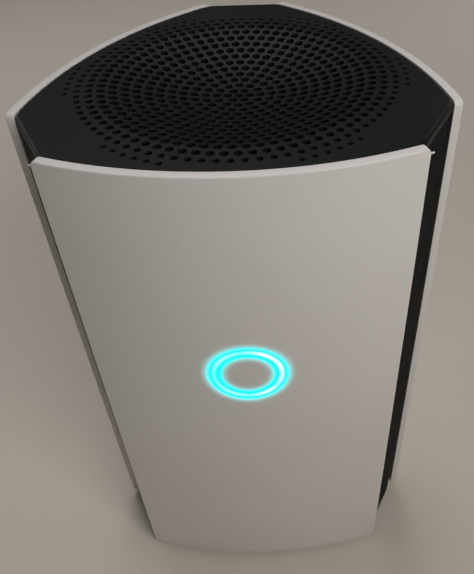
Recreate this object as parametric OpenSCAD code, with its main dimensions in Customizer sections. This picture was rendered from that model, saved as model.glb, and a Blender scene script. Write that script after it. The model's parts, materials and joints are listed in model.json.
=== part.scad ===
/* [Body] */
// Height of the white side panels
panel_h = 201.5; // [150:0.5:260]
// Gap between the panels and the table
panel_lift = 2.5; // [2:0.5:6]
// Wall thickness of the side panels
panel_t = 2.7; // [2:0.1:4]
// Distance from the centre to each cut-off corner
corner_reach = 62.8; // [60:0.1:70]
// Width of each cut-off corner between two panels
corner_w = 24.2; // [24:0.1:28]
// How far each panel bulges in plan at its top
top_bulge = 9.75; // [8:0.05:11]
// How far each panel bulges in plan at its bottom
bottom_bulge = 6.7; // [5:0.1:7.5]
// Air gap between the panels and the inner housing
panel_gap = 2.4; // [2:0.1:3]
// Wall thickness of the inner housing
housing_t = 2; // [1.6:0.1:2.4]

/* [Top grille] */
// Distance between the rings of holes
hole_pitch = 3.35; // [3.2:0.05:3.4]
// Diameter of the main holes
hole_d = 2.6; // [1.6:0.1:2.7]
// Diameter of the holes in the last ring but one
mid_hole_d = 2.3; // [1:0.1:2.6]
// Diameter of the holes in the last ring
outer_hole_d = 1.9; // [0.8:0.1:2.3]
// Diameter of the holes in the groups outside the last ring
group_hole_d = 1.6; // [0.8:0.1:2]
// Depth of the dish in the middle
dish_depth = 6.4; // [2:0.1:8]
// Radius of the dish
dish_r = 41; // [38:0.5:42]
// Thickness of the grille
grille_t = 2; // [1.6:0.1:3]

/* [Light ring] */
// Height of the ring's centre above the table
ring_z = 130; // [100:1:150]
// Outer radius of the ring
ring_ro = 12.9; // [9:0.1:13]
// Inner radius of the ring
ring_ri = 8; // [7:0.1:8.4]

/* [Buttons] */
// Radius of the round button caps
button_r = 3.5; // [3:0.1:3.8]
// Travel of the round buttons
button_travel = 0.6; // [0.3:0.1:0.7]

/* [Hidden] */
$fn = 96;
eps = 0.01;
far = 400;

// Heights.
panel_top = panel_lift + panel_h;
foot_h = 1.5;
base_t = 3.5;
base_top = foot_h + base_t;
grille_drop = 0.1;
rim_top = panel_top - grille_drop;
rim_t = 3;
housing_top = rim_top - rim_t;

// Plan of the body: three arcs and three cut-off corners. The grille follows the panels' arcs at
// their top, and the housing follows the flatter arcs at their bottom.
side_angles = [0, 120, 240];
corner_angles = [90, 210, 330];
half_chord = corner_reach * sin(60) - corner_w / 4;
chord_reach = corner_reach / 2 + corner_w * sin(60) / 2;
arc_r = arc_radius(bottom_bulge);
arc_cy = arc_r - chord_reach - bottom_bulge;
top_arc_r = arc_radius(top_bulge);
top_arc_cy = top_arc_r - chord_reach - top_bulge;
top_end_angle = asin(half_chord / top_arc_r);
body_arc = [arc_r, arc_cy];
top_arc = [top_arc_r, top_arc_cy];

// Each panel's inner face is part of a leaning cone through both arcs.
apex_rise = top_arc_r * panel_h / (arc_r - top_arc_r);
cone_angle = atan(top_arc_r / apex_rise);
lean = atan((top_bulge - bottom_bulge) / panel_h);
apex_y = -chord_reach - top_bulge - apex_rise * tan(lean);
cone_tilt = lean + cone_angle;

// Each end face of a panel is an upright cut towards one line behind it.
end_angle = asin(2 * half_chord / (arc_r + top_arc_r));
wedge_y = half_chord / tan(end_angle) - chord_reach;

// The origin is the middle of the whole plan, so the body moves back by this much. A panel's ends
// stand out furthest at the middle of its height.
front_reach = chord_reach + top_bulge + panel_t;
end_x = half_chord + panel_t * sin(end_angle);
end_y = cone_y(end_x, panel_lift + panel_h / 2, panel_t);
back_reach = end_x * sin(120) + end_y * cos(120);
plan_shift = (back_reach - front_reach) / 2;

// Panels.
panel_corner_r = 1.6;
rail_w = 3;
rail_angle = 10;
rail_end = 9;
rail_bite = 0.5;
tab_out = 1.2;
tab_t = 0.4;
tab_h = 0.4;
tab_drop = 1.6;
tab_root = 0.4;
tab_in = 1.8;

// Screws.
screw_r = 1.25;
screw_clear_r = 1.5;
head_r = 2.3;
head_h = 1.5;
panel_screw_z = [38, 166];
seat_gap = 0.03;
hex_r = 0.9;
hex_depth = 0.9;
sink_head_r = 1.9;
post_reach = 55.8;
post_r = 4.5;
post_h = 15;
shelf_z = 184;
shelf_h = 5;

// Air slots in the base, on each side of the main board.
vent_w = 3;
vent_step = 7;
vent_len = 24;
vent_taper = 3;
right_vents = 5;
right_vent_y = [-33, 4];
left_vent_x = -33;
left_vent_y = [-24, 8];
left_vent_len = 14;
foot_reach = 44;
foot_r = 7;

// Housing corners and the port window in the back corner.
corner_inset = 0.4;
window_w = 16.2;
port_z0 = 26;
port_z1 = 172;
port_face = corner_reach - corner_inset;
port_wall_in = port_face - housing_t;
port_plate_t = 1.8;
port_w = 16;
port_flange_w = 16.8;
port_plate_back = port_wall_in - port_plate_t;
fit_gap = 0.15;

// Grille rings.
full_rings = 12;
mid_ring = 13;
outer_ring = 14;
group_ring = 15;
group_holes = 6;
plate_gap = 0.35;
corner_bevel = 0.8;
skirt_t = 2.6;
dish_power = 1.3;
step_lap = 0.05;
boss_r = 3.2;
boss_skin = 0.8;

// Light parts, along Y from the inner face of the front panel at the ring's height.
ring_bulge = bottom_bulge + (top_bulge - bottom_bulge) * (ring_z - panel_lift) / panel_h;
front_y = -chord_reach - ring_bulge;
flange_r = 15;
guide_back = front_y + 2;
baffle_r = 15;
baffle_back = front_y + 8.2;
baffle_wall = 1.2;
baffle_core_r = ring_ri - 1;
baffle_gap = 0.3;
led_r = 10.4;
led_count = 12;
led_w = 2.8;
led_h = 0.8;
led_clear = 0.3;
led_board_r = 22;
led_board_t = 1.2;
led_board_bore_r = 4;
led_screw_r = 18.8;
led_screw_len = 4;
led_post_r = 3;
led_post_reach = 6;
led_hole_depth = 2.8;
ribbon_t = 0.3;
ribbon_w = 5;
plug_w = 8;
plug_t = 1.5;
plug_h = 4;

// Main board, seen on its right face, with the ports at the back.
board_t = 1.6;
board_x = -6.75;
board_y0 = -34;
board_y1 = 57;
board_z0 = 12;
board_z1 = 186;
carrier_t = 3;
board_left = board_x - board_t;
sink_y0 = -24;
sink_y1 = 28;
sink_z0 = 62;
sink_z1 = 168;
sink_base = 3;
fin_t = 1;
fin_step = 5;
pad_t = 0.8;
pad_h = 22;
pad_y0 = -16;
pad_len = 36;
can_h = 2.6;
can_edge = 2;
can_rows = [[66, 92], [98, 130], [136, 162]];
chip_h = 1.4;
chips = [[-20, -10, 20, 30], [-4, 8, 18, 32], [14, 26, 22, 34], [-18, -8, 40, 54], [0, 14, 42, 56],
    [20, 28, 44, 54]];
capacitor_r = 3.2;
capacitor_h = 7;
capacitor_y = 34;
capacitor_z = [28, 42];
right_sink_x = board_x + can_h + pad_t;
left_fin_len = 16;
right_fin_len = 20;
sink_screw_y = [-21, 24];
sink_screw_z = [95, 133];
sink_screw_len = right_sink_x + sink_base - (board_left - pad_t - sink_base);
board_screw_yz = [[-31, 18], [-31, 100], [-31, 180], [34, 18], [34, 100], [34, 180]];
carrier_screw_y = [-20, 22];
carrier_screw_len = 5.5;
carrier_foot_x = -20;
carrier_foot_h = 4;
carrier_foot_y0 = -28;
carrier_foot_len = 58;
carrier_len = 86;
base_screw_len = 12;
grille_screw_len = 12;

// Ports in the back corner, by height.
dc_z = 36;
power_z = 52;
wan_z = 70;
jack_step = 19;
reset_z = 144;
pair_z = 159;
jack_w = 13.5;
jack_h = 16;
jack_l = 21;
jack_y1 = port_face - 0.4;
jack_cavity_l = 14;
jack_cavity_x = 3;
jack_cavity_w = 6.9;
jack_cavity_h = 11.8;
latch_x = 4.7;
latch_h = 6;
latch_tip_x = 5.8;
latch_tip_h = 3.2;
contact_t = 0.4;
contact_w = 0.45;
contact_step = 1.02;
contact_len = 9;
dc_body_w = 9;
dc_body_l = 14;
dc_bore_r = 3;
dc_bore_l = 11;
dc_wall = 1;
dc_face = port_face - 0.2;
dc_pin_r = 1;
dc_pin_tip = 4.6;
button_proud = 0.8;
button_flange_r = 4.3;
button_flange_t = 1.2;
button_seat = port_plate_back - 0.1;
reset_r = 0.85;
reset_hole_r = 1;
reset_sunk = 1;
reset_flange_r = 1.8;
switch_w = 6;
switch_l = 3.5;
stem_r = 1.4;
stem_l = 1;

// Antennas on the inside of the housing walls.
antenna_w = 12;
antenna_h = 38;
antenna_t = 0.8;
antenna_z = 140;
antenna_off = 3;
antenna_angle = 9;
antenna_clip_w = 8;
antenna_clip_h = 4;
antenna_clip_end = 4;
lead_r = 0.6;
lead_sides = 8;

panel_white = "#e9e4e1";
black = "#1a1a1c";
dark_plastic = "#242427";
board_green = "#1f5a3a";
steel = "#b8babd";

function arc_radius(bulge) = (half_chord * half_chord + bulge * bulge) / (2 * bulge);

function dish_z(r) = r < dish_r ? -dish_depth * pow(1 - pow(r / dish_r, 2), dish_power) : 0;

// Where the leaning cone, moved out by a distance, meets a place x and z in the front.
function cone_y(x, z, out) =
    let (rise = out / sin(cone_angle),
        dz = z - panel_top - apex_rise - rise * cos(cone_tilt),
        s = sin(cone_tilt), c = cos(cone_tilt), k = pow(cos(cone_angle), 2),
        a = s * s - k, b = -2 * dz * s * c, d = dz * dz * (c * c - k) - k * x * x)
    apex_y - rise * s + (-b + sqrt(b * b - 4 * a * d)) / (2 * a);

module placed() {
    translate([0, -plan_shift, 0]) children();
}

// The disc whose front edge is an arc of the plan.
module side_disc(inset, arc) {
    translate([0, arc[1]]) circle(r = arc[0] - inset, $fn = 360);
}

// The body's plan, set in by one distance at the arcs and another at the corners.
module plan(arc_in, corner_in, arc = body_arc) {
    intersection() {
        side_disc(arc_in, arc);
        rotate(side_angles[1]) side_disc(arc_in, arc);
        rotate(side_angles[2]) side_disc(arc_in, arc);
        rotate(-90) circle(r = 2 * (corner_reach - corner_in), $fn = 3);
    }
}

// Everything inside the leaning cone of the front panel's inner face, moved out by a distance.
module wall_cone(out) {
    rise = out / sin(cone_angle);
    upper = 0.9 * apex_rise;
    lower = 1.1 * (apex_rise + panel_h);
    slope = tan(cone_angle);
    translate([0, apex_y, panel_top + apex_rise]) rotate([cone_tilt, 0, 0])
        translate([0, 0, rise - lower]) cylinder(r1 = lower * slope, r2 = upper * slope,
            h = lower - upper, $fn = 360);
}

// A slice of the ring between two radii about a panel's arc centre.
module arc_slice(r_in, r_out, angle_from, angle_to) {
    translate([0, arc_cy]) intersection() {
        difference() {
            circle(r = r_out, $fn = 360);
            circle(r = r_in, $fn = 360);
        }
        polygon([[0, 0], [far * sin(angle_from), -far * cos(angle_from)],
            [far * sin(angle_to), -far * cos(angle_to)]]);
    }
}

module at_corner(angle, reach) {
    rotate(angle) translate([reach, 0]) children();
}

module prism(z0, z1) {
    translate([0, 0, z0]) linear_extrude(z1 - z0) children();
}

// A cylinder along +Y, from y0 to y1, at height z.
module along_y(r, y0, y1, z) {
    translate([0, y0, z]) rotate([-90, 0, 0]) cylinder(r = r, h = y1 - y0);
}

// A screw that points up, with the underside of its head at the origin.
module screw(length, cap_r = head_r) {
    cylinder(r = screw_r, h = length);
    translate([0, 0, -head_h]) difference() {
        cylinder(r = cap_r, h = head_h);
        translate([0, 0, -eps]) cylinder(r = hex_r, h = hex_depth + eps, $fn = 6);
    }
}

// ---- Side panels ----

// The wedge, in plan, whose sides are a panel's two end faces.
module end_wedge() {
    translate([0, wedge_y])
        polygon([[0, 0], [-far * sin(end_angle), -far * cos(end_angle)],
            [far * sin(end_angle), -far * cos(end_angle)]]);
}

// What is cut away to round the four corners of a panel, as seen from the front.
module corner_rounding() {
    r = panel_corner_r;
    for (s = [-1, 1], top = [true, false])
        translate([s * (end_x - r), -chord_reach, top ? panel_top - r : panel_lift + r])
            rotate([90, 0, 0]) linear_extrude(8 * panel_t, center = true) difference() {
                translate([s > 0 ? 0 : -2 * r, top ? 0 : -2 * r]) square(2 * r);
                circle(r = r, $fn = 48);
            }
}

// Both rails of the front panel at one height, at a radius about the arc's centre, Z pointing out.
module panel_screw_place(z, radius) {
    for (s = [-1, 1]) translate([0, arc_cy, z]) rotate([0, 0, s * rail_angle]) rotate([90, 0, 0])
        translate([0, 0, radius]) children();
}

// A panel's curved wall and its two screw rails.
module panel_shell() {
    rail_half = rail_w / 2 / arc_r * 180 / PI;
    difference() {
        intersection() {
            difference() {
                wall_cone(panel_t);
                wall_cone(0);
            }
            prism(panel_lift, panel_top) end_wedge();
        }
        corner_rounding();
    }
    for (s = [-1, 1]) difference() {
        intersection() {
            prism(panel_lift + rail_end, panel_top - rail_end)
                arc_slice(arc_r - panel_gap, arc_r + 2 * top_bulge, s * rail_angle - rail_half,
                    s * rail_angle + rail_half);
            wall_cone(rail_bite);
        }
        for (z = panel_screw_z)
            panel_screw_place(z, arc_r - panel_gap - 1) cylinder(r = screw_r, h = panel_gap + 1);
    }
}

// The small tab at each end of the front panel's top edge.
module panel_tabs() {
    for (s = [-1, 1])
        translate([0, top_arc_cy, panel_top - tab_drop - tab_h]) rotate(s * top_end_angle)
            translate([s > 0 ? -tab_root : -tab_out, -top_arc_r - tab_in - tab_t, 0])
                cube([tab_out + tab_root, tab_t, tab_h]);
}

module front_panel() {
    color(panel_white) difference() {
        union() {
            panel_shell();
            panel_tabs();
        }
        along_y(ring_ro, front_y - 10, front_y + 10, ring_z);
    }
}

module rear_panel(angle) {
    color(panel_white) rotate(angle) panel_shell();
}

module panel_screws() {
    seat = arc_r - panel_gap - housing_t - seat_gap;
    color(steel) for (a = side_angles, z = panel_screw_z)
        rotate(a) panel_screw_place(z, seat) screw(housing_t + panel_gap + seat_gap);
}

// ---- Light ring ----

module ring_cap() {
    color(panel_white) intersection() {
        along_y(ring_ri, front_y - 10, front_y + 1, ring_z);
        difference() {
            wall_cone(panel_t);
            wall_cone(0);
        }
    }
}

module light_guide() {
    color("#9fe9ec") {
        intersection() {
            difference() {
                along_y(ring_ro, front_y - 10, front_y + 1, ring_z);
                along_y(ring_ri, front_y - 11, front_y + 2, ring_z);
            }
            wall_cone(panel_t);
        }
        intersection() {
            along_y(flange_r, front_y - 1, guide_back, ring_z);
            wall_cone(0);
        }
    }
}

module light_baffle() {
    color(black) difference() {
        along_y(baffle_r, guide_back, baffle_back, ring_z);
        difference() {
            along_y(baffle_r - baffle_wall, guide_back - 1, baffle_back + 1, ring_z);
            along_y(baffle_core_r, guide_back - 2, baffle_back + 2, ring_z);
        }
        along_y(baffle_core_r - baffle_wall, guide_back - 1, baffle_back + 1, ring_z);
    }
    color(black) difference() {
        along_y(baffle_r, baffle_back - 1, baffle_back, ring_z);
        along_y(baffle_core_r - baffle_wall, baffle_back - 2, baffle_back + 1, ring_z);
        for (i = [0 : led_count - 1])
            led_place(i) cube([led_w + 2 * led_clear, led_w + 2 * led_clear, 4], center = true);
    }
}

// Puts its children on the led board's front face, one per lamp, facing the front.
module led_place(i) {
    a = 360 * i / led_count;
    translate([led_r * cos(a), baffle_back, ring_z + led_r * sin(a)])
        rotate([90, 0, 0]) rotate(a) children();
}

module ring_leds() {
    color("#f2f0da") for (i = [0 : led_count - 1])
        led_place(i) translate([-led_w / 2, -led_w / 2, 0]) cube([led_w, led_w, led_h]);
}

module led_board() {
    color(board_green) difference() {
        along_y(led_board_r, baffle_back, baffle_back + led_board_t, ring_z);
        along_y(led_board_bore_r, baffle_back - 1, baffle_back + led_board_t + 1, ring_z);
        led_screw_place() translate([0, 0, -1]) cylinder(r = screw_r, h = led_board_t + 2);
    }
}

// Three places on the back of the led board, with Z pointing to the front.
module led_screw_place() {
    back = baffle_back + led_board_t;
    for (a = side_angles)
        translate([led_screw_r * cos(a - 30), back, ring_z + led_screw_r * sin(a - 30)])
            rotate([90, 0, 0]) children();
}

module led_board_screws() {
    color(steel) led_screw_place() screw(led_screw_len);
}

module led_ribbon() {
    start_y = baffle_back + led_board_t + plug_t;
    end_y = board_y0 - 0.5 + 8;
    bend_z = ring_z - 22;
    end_z = ring_z - 32;
    color("#c9b48a") translate([-ribbon_w / 2, 0, 0]) rotate([90, 0, 90]) linear_extrude(ribbon_w)
        polygon([[start_y, ring_z - 9], [start_y + ribbon_t, ring_z - 9], [start_y + ribbon_t, bend_z],
            [end_y, end_z], [end_y, end_z - ribbon_t], [start_y, bend_z - ribbon_t]]);
}

module ribbon_connectors() {
    color("#e8e3d3") {
        translate([-plug_w / 2, baffle_back + led_board_t, ring_z - 11]) cube([plug_w, plug_t, plug_h]);
        translate([board_x, board_y0 + 4, ring_z - 34]) cube([9.3, 4, 1.7]);
    }
}

// ---- Top grille ----

module ring_of_holes(ring, d) {
    for (i = [0 : 6 * ring - 1])
        rotate(360 * i / (6 * ring)) translate([ring * hole_pitch, 0]) circle(d = d, $fn = 24);
}

module corner_groups() {
    step = 360 / (6 * group_ring);
    for (side = [0 : 5], i = [0 : group_holes - 1])
        rotate(60 * side + (i - (group_holes - 1) / 2) * step)
            translate([group_ring * hole_pitch, 0]) circle(d = group_hole_d, $fn = 24);
}

// One flat step of the dish, with its own ring of holes.
module dish_step(ring) {
    r_in = (ring - 0.5) * hole_pitch - step_lap;
    r_out = (ring + 0.5) * hole_pitch;
    z = rim_top + dish_z(ring * hole_pitch);
    prism(z - grille_t, z) difference() {
        circle(r = r_out);
        if (ring > 0) circle(r = r_in);
        if (ring > 0) ring_of_holes(ring, hole_d);
        else circle(d = hole_d, $fn = 24);
    }
}

module grille_rim() {
    inner_r = (full_rings + 0.5) * hole_pitch - step_lap;
    prism(rim_top - grille_t, rim_top) difference() {
        plan(plate_gap, corner_inset, top_arc);
        circle(r = inner_r);
        ring_of_holes(mid_ring, mid_hole_d);
        ring_of_holes(outer_ring, outer_hole_d);
        corner_groups();
    }
    prism(rim_top - rim_t, rim_top - grille_t + eps) difference() {
        plan(plate_gap, corner_inset, top_arc);
        plan(plate_gap + skirt_t, corner_inset + housing_t, top_arc);
    }
}

module top_grille() {
    color(black) {
        for (ring = [0 : full_rings]) dish_step(ring);
        difference() {
            grille_rim();
            for (a = corner_angles)
                at_corner(a, corner_reach - corner_inset)
                    translate([-corner_bevel, -corner_w, rim_top]) rotate([0, 45, 0])
                        cube([4, 2 * corner_w, 4]);
        }
        for (a = corner_angles) at_corner(a, post_reach) difference() {
            prism(shelf_z + shelf_h, rim_top - grille_t + eps) circle(r = boss_r);
            prism(shelf_z, rim_top - grille_t - boss_skin) circle(r = screw_r);
        }
    }
}

module grille_screws() {
    color(steel) for (a = corner_angles)
        at_corner(a, post_reach) translate([0, 0, shelf_z]) screw(grille_screw_len);
}

// ---- Inner housing and base ----

module housing_section() {
    difference() {
        plan(panel_gap, corner_inset);
        plan(panel_gap + housing_t, corner_inset + housing_t);
    }
}

// A screw post that runs out to the corner wall, with a hole of its own height range.
module corner_post(z0, z1, hole_r, hole_z0, hole_z1) {
    difference() {
        prism(z0, z1) union() {
            circle(r = post_r);
            translate([0, -post_r]) square([port_face - 1 - post_reach, 2 * post_r]);
        }
        prism(hole_z0, hole_z1) circle(r = hole_r);
    }
}

module inner_housing() {
    color(dark_plastic) difference() {
        union() {
            prism(base_top, housing_top) housing_section();
            for (a = corner_angles) {
                at_corner(a, post_reach) corner_post(base_top, base_top + post_h, screw_r,
                    base_top - 1, base_top + 12);
                at_corner(a, post_reach) corner_post(shelf_z, shelf_z + shelf_h, screw_clear_r,
                    shelf_z - 1, shelf_z + shelf_h + 1);
            }
            intersection() {
                led_screw_place() translate([0, 0, led_board_t])
                    cylinder(r = led_post_r, h = led_post_reach);
                prism(base_top, housing_top) side_disc(panel_gap + 1, body_arc);
            }
        }
        led_screw_place() translate([0, 0, led_board_t - 1])
            cylinder(r = screw_r, h = led_hole_depth + 1);
        along_y(baffle_r + baffle_gap, front_y - 1, baffle_back + 1, ring_z);
        translate([-window_w / 2, port_wall_in - 3, port_z0 - 0.1])
            cube([window_w, 8, port_z1 - port_z0 + 0.2]);
        translate([-port_flange_w / 2 - fit_gap, port_wall_in - 3, port_z0 - 0.1])
            cube([port_flange_w + 2 * fit_gap, 3, port_z1 - port_z0 + 0.2]);
        for (a = side_angles, z = panel_screw_z)
            rotate(a) panel_screw_place(z, arc_r - panel_gap - housing_t - 1)
                cylinder(r = screw_r, h = housing_t + 2);
    }
}

module base_screw_place() {
    for (a = corner_angles) at_corner(a, post_reach) translate([0, 0, foot_h + head_h]) children();
}

module carrier_screw_place() {
    for (y = carrier_screw_y)
        translate([(carrier_foot_x + board_left) / 2, y, foot_h + head_h]) children();
}

// A through hole with a recess for a screw head below the origin.
module countersunk_hole() {
    translate([0, 0, -base_t]) cylinder(r = screw_clear_r, h = 3 * base_t);
    translate([0, 0, -base_t]) cylinder(r = head_r + 0.2, h = base_t);
}

module base_plate() {
    color(black) difference() {
        prism(foot_h, base_top) plan(panel_gap, corner_inset);
        for (i = [0 : right_vents - 1], y0 = right_vent_y)
            translate([i * vent_step, y0 + i * vent_taper / 2, 0]) vent_slot(vent_len - vent_taper * i);
        for (i = [0 : 1], y0 = left_vent_y)
            translate([left_vent_x + i * vent_step, y0, 0]) vent_slot(left_vent_len);
        base_screw_place() countersunk_hole();
        carrier_screw_place() countersunk_hole();
    }
}

module vent_slot(length) {
    translate([-vent_w / 2, 0, 0]) cube([vent_w, length, 2 * base_top]);
    for (y = [0, length]) translate([0, y, 0]) cylinder(r = vent_w / 2, h = 2 * base_top, $fn = 32);
}

module base_screws() {
    color(steel) base_screw_place() screw(base_screw_len);
}

module rubber_feet() {
    color("#2b2b2b") for (a = corner_angles) at_corner(a, foot_reach)
        cylinder(r = foot_r, h = foot_h);
}

// ---- Main board ----

module board_carrier() {
    color(dark_plastic) difference() {
        union() {
            translate([board_left - carrier_t, board_y0, base_top])
                cube([carrier_t, carrier_len, board_z1 - base_top]);
            translate([carrier_foot_x, carrier_foot_y0, base_top])
                cube([board_left - carrier_foot_x, carrier_foot_len, carrier_foot_h]);
        }
        translate([board_left - carrier_t - 1, sink_y0 - 2, sink_z0 - 2])
            cube([carrier_t + 2, sink_y1 - sink_y0 + 4, sink_z1 - sink_z0 + 4]);
        translate([board_left - carrier_t - 1, sink_y0 + 4, base_top + 12])
            cube([carrier_t + 2, sink_y1 - sink_y0 - 8, sink_z0 - base_top - 22]);
        board_screw_place() cylinder(r = screw_r, h = 2 * (board_t + carrier_t));
        carrier_screw_place() cylinder(r = screw_r, h = 3 * base_t);
    }
}

module carrier_screws() {
    color(steel) carrier_screw_place() screw(carrier_screw_len);
}

// The board's screw places on its right face, with Z pointing into the board.
module board_screw_place() {
    for (p = board_screw_yz) translate([board_x, p[0], p[1]]) rotate([0, -90, 0]) children();
}

module main_board() {
    color(board_green) difference() {
        translate([board_left, board_y0, board_z0])
            cube([board_t, board_y1 - board_y0, board_z1 - board_z0]);
        board_screw_place() cylinder(r = screw_r, h = 3 * board_t, center = true);
        sink_screw_place() cylinder(r = screw_r, h = sink_screw_len);
    }
}

module board_screws() {
    color(steel) board_screw_place() screw(board_t + carrier_t);
}

module on_board(y0, y1, z0, z1, h) {
    translate([board_x, y0, z0]) cube([h, y1 - y0, z1 - z0]);
}

module board_chips() {
    color("#161616") for (c = chips) on_board(c[0], c[1], c[2], c[3], chip_h);
    color("#2c3a4a") for (z = capacitor_z) translate([board_x, capacitor_y, z]) rotate([0, 90, 0])
        cylinder(r = capacitor_r, h = capacitor_h);
}

module shield_cans() {
    color(steel) for (row = can_rows)
        on_board(sink_y0 + can_edge, sink_y1 - can_edge, row[0], row[1], can_h);
}

module thermal_pads() {
    color("#7f9fb5") for (row = can_rows, x = [board_x + can_h, board_left - pad_t])
        translate([x, pad_y0, (row[0] + row[1] - pad_h) / 2]) cube([pad_t, pad_len, pad_h]);
}

// A finned plate with its base on the X = 0 plane and its fins along +X.
module heat_sink(fin_len) {
    translate([0, sink_y0, sink_z0]) cube([sink_base, sink_y1 - sink_y0, sink_z1 - sink_z0]);
    for (y = [sink_y0 : fin_step : sink_y1 - fin_t])
        translate([sink_base - eps, y, sink_z0]) cube([fin_len + eps, fin_t, sink_z1 - sink_z0]);
}

module sink_screw_place() {
    for (y = sink_screw_y, z = sink_screw_z)
        translate([right_sink_x + sink_base, y, z]) rotate([0, -90, 0]) children();
}

module left_heat_sink() {
    color("#9a9da1") difference() {
        translate([board_left - pad_t, 0, 0]) mirror([1, 0, 0]) heat_sink(left_fin_len);
        sink_screw_place() cylinder(r = screw_r, h = sink_screw_len);
    }
}

module right_heat_sink() {
    color("#9a9da1") difference() {
        translate([right_sink_x, 0, 0]) heat_sink(right_fin_len);
        sink_screw_place() cylinder(r = screw_r, h = sink_screw_len);
    }
}

module sink_screws() {
    color(steel) sink_screw_place() screw(sink_screw_len, sink_head_r);
}

// ---- Antennas ----

module antenna_place() {
    for (side = side_angles, s = [-1, 1])
        rotate(side) translate([0, arc_cy, 0]) rotate(s * antenna_angle)
            translate([0, -(arc_r - panel_gap - housing_t), antenna_z]) children();
}

module antenna_boards() {
    color("#d9c9a0") antenna_place()
        translate([-antenna_w / 2, antenna_off, 0]) cube([antenna_w, antenna_t, antenna_h]);
}

module antenna_clips() {
    color(dark_plastic) intersection() {
        antenna_place() for (z = [antenna_clip_end, antenna_h - antenna_clip_end - antenna_clip_h])
            translate([-antenna_clip_w / 2, -1, z])
                cube([antenna_clip_w, antenna_off + 1, antenna_clip_h]);
        prism(antenna_z, antenna_z + antenna_h) plan(panel_gap + housing_t, corner_inset + housing_t);
    }
}

function unit(v) = v / norm(v);

// The direction of a path at one of its points.
function heading(points, i) =
    let (last = len(points) - 1)
    i == 0 ? unit(points[1] - points[0])
    : i == last ? unit(points[last] - points[last - 1])
    : unit(unit(points[i] - points[i - 1]) + unit(points[i + 1] - points[i]));

// A lead swept along points that lie in one upright plane.
module lead(points) {
    sides = lead_sides;
    across = unit(cross([0, 0, 1], points[2] - points[1]));
    last = len(points) - 1;
    rings = [for (i = [0 : last], k = [0 : sides - 1])
        points[i] + lead_r * (cos(360 * k / sides) * across
            + sin(360 * k / sides) * cross(heading(points, i), across))];
    walls = [for (i = [0 : last - 1], k = [0 : sides - 1])
        [i * sides + k, (i + 1) * sides + k, (i + 1) * sides + (k + 1) % sides,
            i * sides + (k + 1) % sides]];
    ends = [[for (k = [0 : sides - 1]) k], [for (k = [sides - 1 : -1 : 0]) last * sides + k]];
    polyhedron(points = rings, faces = concat(walls, ends));
}

// The top of an antenna's element, on the side away from the wall.
function antenna_root(side, s) =
    let (a = side + s * antenna_angle,
        r = arc_r - panel_gap - housing_t - antenna_off - antenna_t - lead_r)
    [-arc_cy * sin(side) + r * sin(a), arc_cy * cos(side) - r * cos(a), antenna_z + antenna_h - 6];

module antenna_leads() {
    lead_x = board_x + lead_r;
    color("#3a3a3e") for (side = side_angles, s = [-1, 1]) {
        root = antenna_root(side, s);
        board_y = 0.6 * root[1] + 3 * s;
        lead([root, [root[0], root[1], board_z1 - 2], [lead_x, board_y, board_z1 + 3],
            [lead_x, board_y, board_z1 - 6]]);
    }
}

// ---- Ports and buttons ----

module port_plate() {
    translate([-port_flange_w / 2, port_plate_back, port_z0])
        cube([port_flange_w, port_plate_t, port_z1 - port_z0]);
    translate([-port_w / 2, port_wall_in - eps, port_z0])
        cube([port_w, housing_t + eps, port_z1 - port_z0]);
}

module port_panel() {
    y0 = port_plate_back - 1;
    y1 = port_face + 1;
    color(black) difference() {
        port_plate();
        for (i = [0 : 3])
            translate([-jack_w / 2 - fit_gap, y0, wan_z + jack_step * i - jack_h / 2 - fit_gap])
                cube([jack_w + 2 * fit_gap, y1 - y0, jack_h + 2 * fit_gap]);
        along_y(dc_bore_r + dc_wall + fit_gap, y0, y1, dc_z);
        for (z = [power_z, pair_z]) along_y(button_r + fit_gap, y0, y1, z);
        along_y(reset_hole_r, y0, y1, reset_z);
    }
}

module jack(z) {
    y_in = jack_y1 - jack_cavity_l;
    depth = jack_cavity_l + 1;
    color(steel) difference() {
        translate([-jack_w / 2, jack_y1 - jack_l, z - jack_h / 2]) cube([jack_w, jack_l, jack_h]);
        translate([-jack_w / 2 + jack_cavity_x, y_in, z - jack_cavity_h / 2])
            cube([jack_cavity_w, depth, jack_cavity_h]);
        translate([0, y_in, z - latch_h / 2]) cube([latch_x, depth, latch_h]);
        translate([0, y_in, z - latch_tip_h / 2]) cube([latch_tip_x, depth, latch_tip_h]);
    }
}

module jack_contacts() {
    y_in = jack_y1 - jack_cavity_l;
    color("#d4af55") for (k = [0 : 3], i = [0 : 7])
        translate([-jack_w / 2 + jack_cavity_x, y_in,
            wan_z + jack_step * k + (i - 3.5) * contact_step - contact_w / 2])
                cube([contact_t, contact_len, contact_w]);
}

module dc_jack() {
    color(black) difference() {
        union() {
            translate([board_x, port_plate_back - dc_body_l, dc_z - dc_body_w / 2])
                cube([dc_body_w / 2 - board_x, dc_body_l, dc_body_w]);
            along_y(dc_bore_r + dc_wall, port_plate_back - eps, dc_face, dc_z);
        }
        along_y(dc_bore_r, dc_face - dc_bore_l, dc_face + 1, dc_z);
    }
}

module dc_jack_pin() {
    color("#c9ccd0") along_y(dc_pin_r, dc_face - dc_bore_l, dc_face - dc_pin_tip, dc_z);
}

module round_button(z) {
    along_y(button_r, button_seat - button_flange_t, port_face + button_proud, z);
    along_y(button_flange_r, button_seat - button_flange_t, button_seat, z);
}

module power_button() {
    color("#2d2d31") round_button(power_z);
}

module pair_button() {
    color("#2d2d31") round_button(pair_z);
}

module reset_button() {
    color("#8d1f1f") {
        along_y(reset_r, button_seat - button_flange_t, port_face - reset_sunk, reset_z);
        along_y(reset_flange_r, button_seat - button_flange_t, button_seat, reset_z);
    }
}

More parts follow.
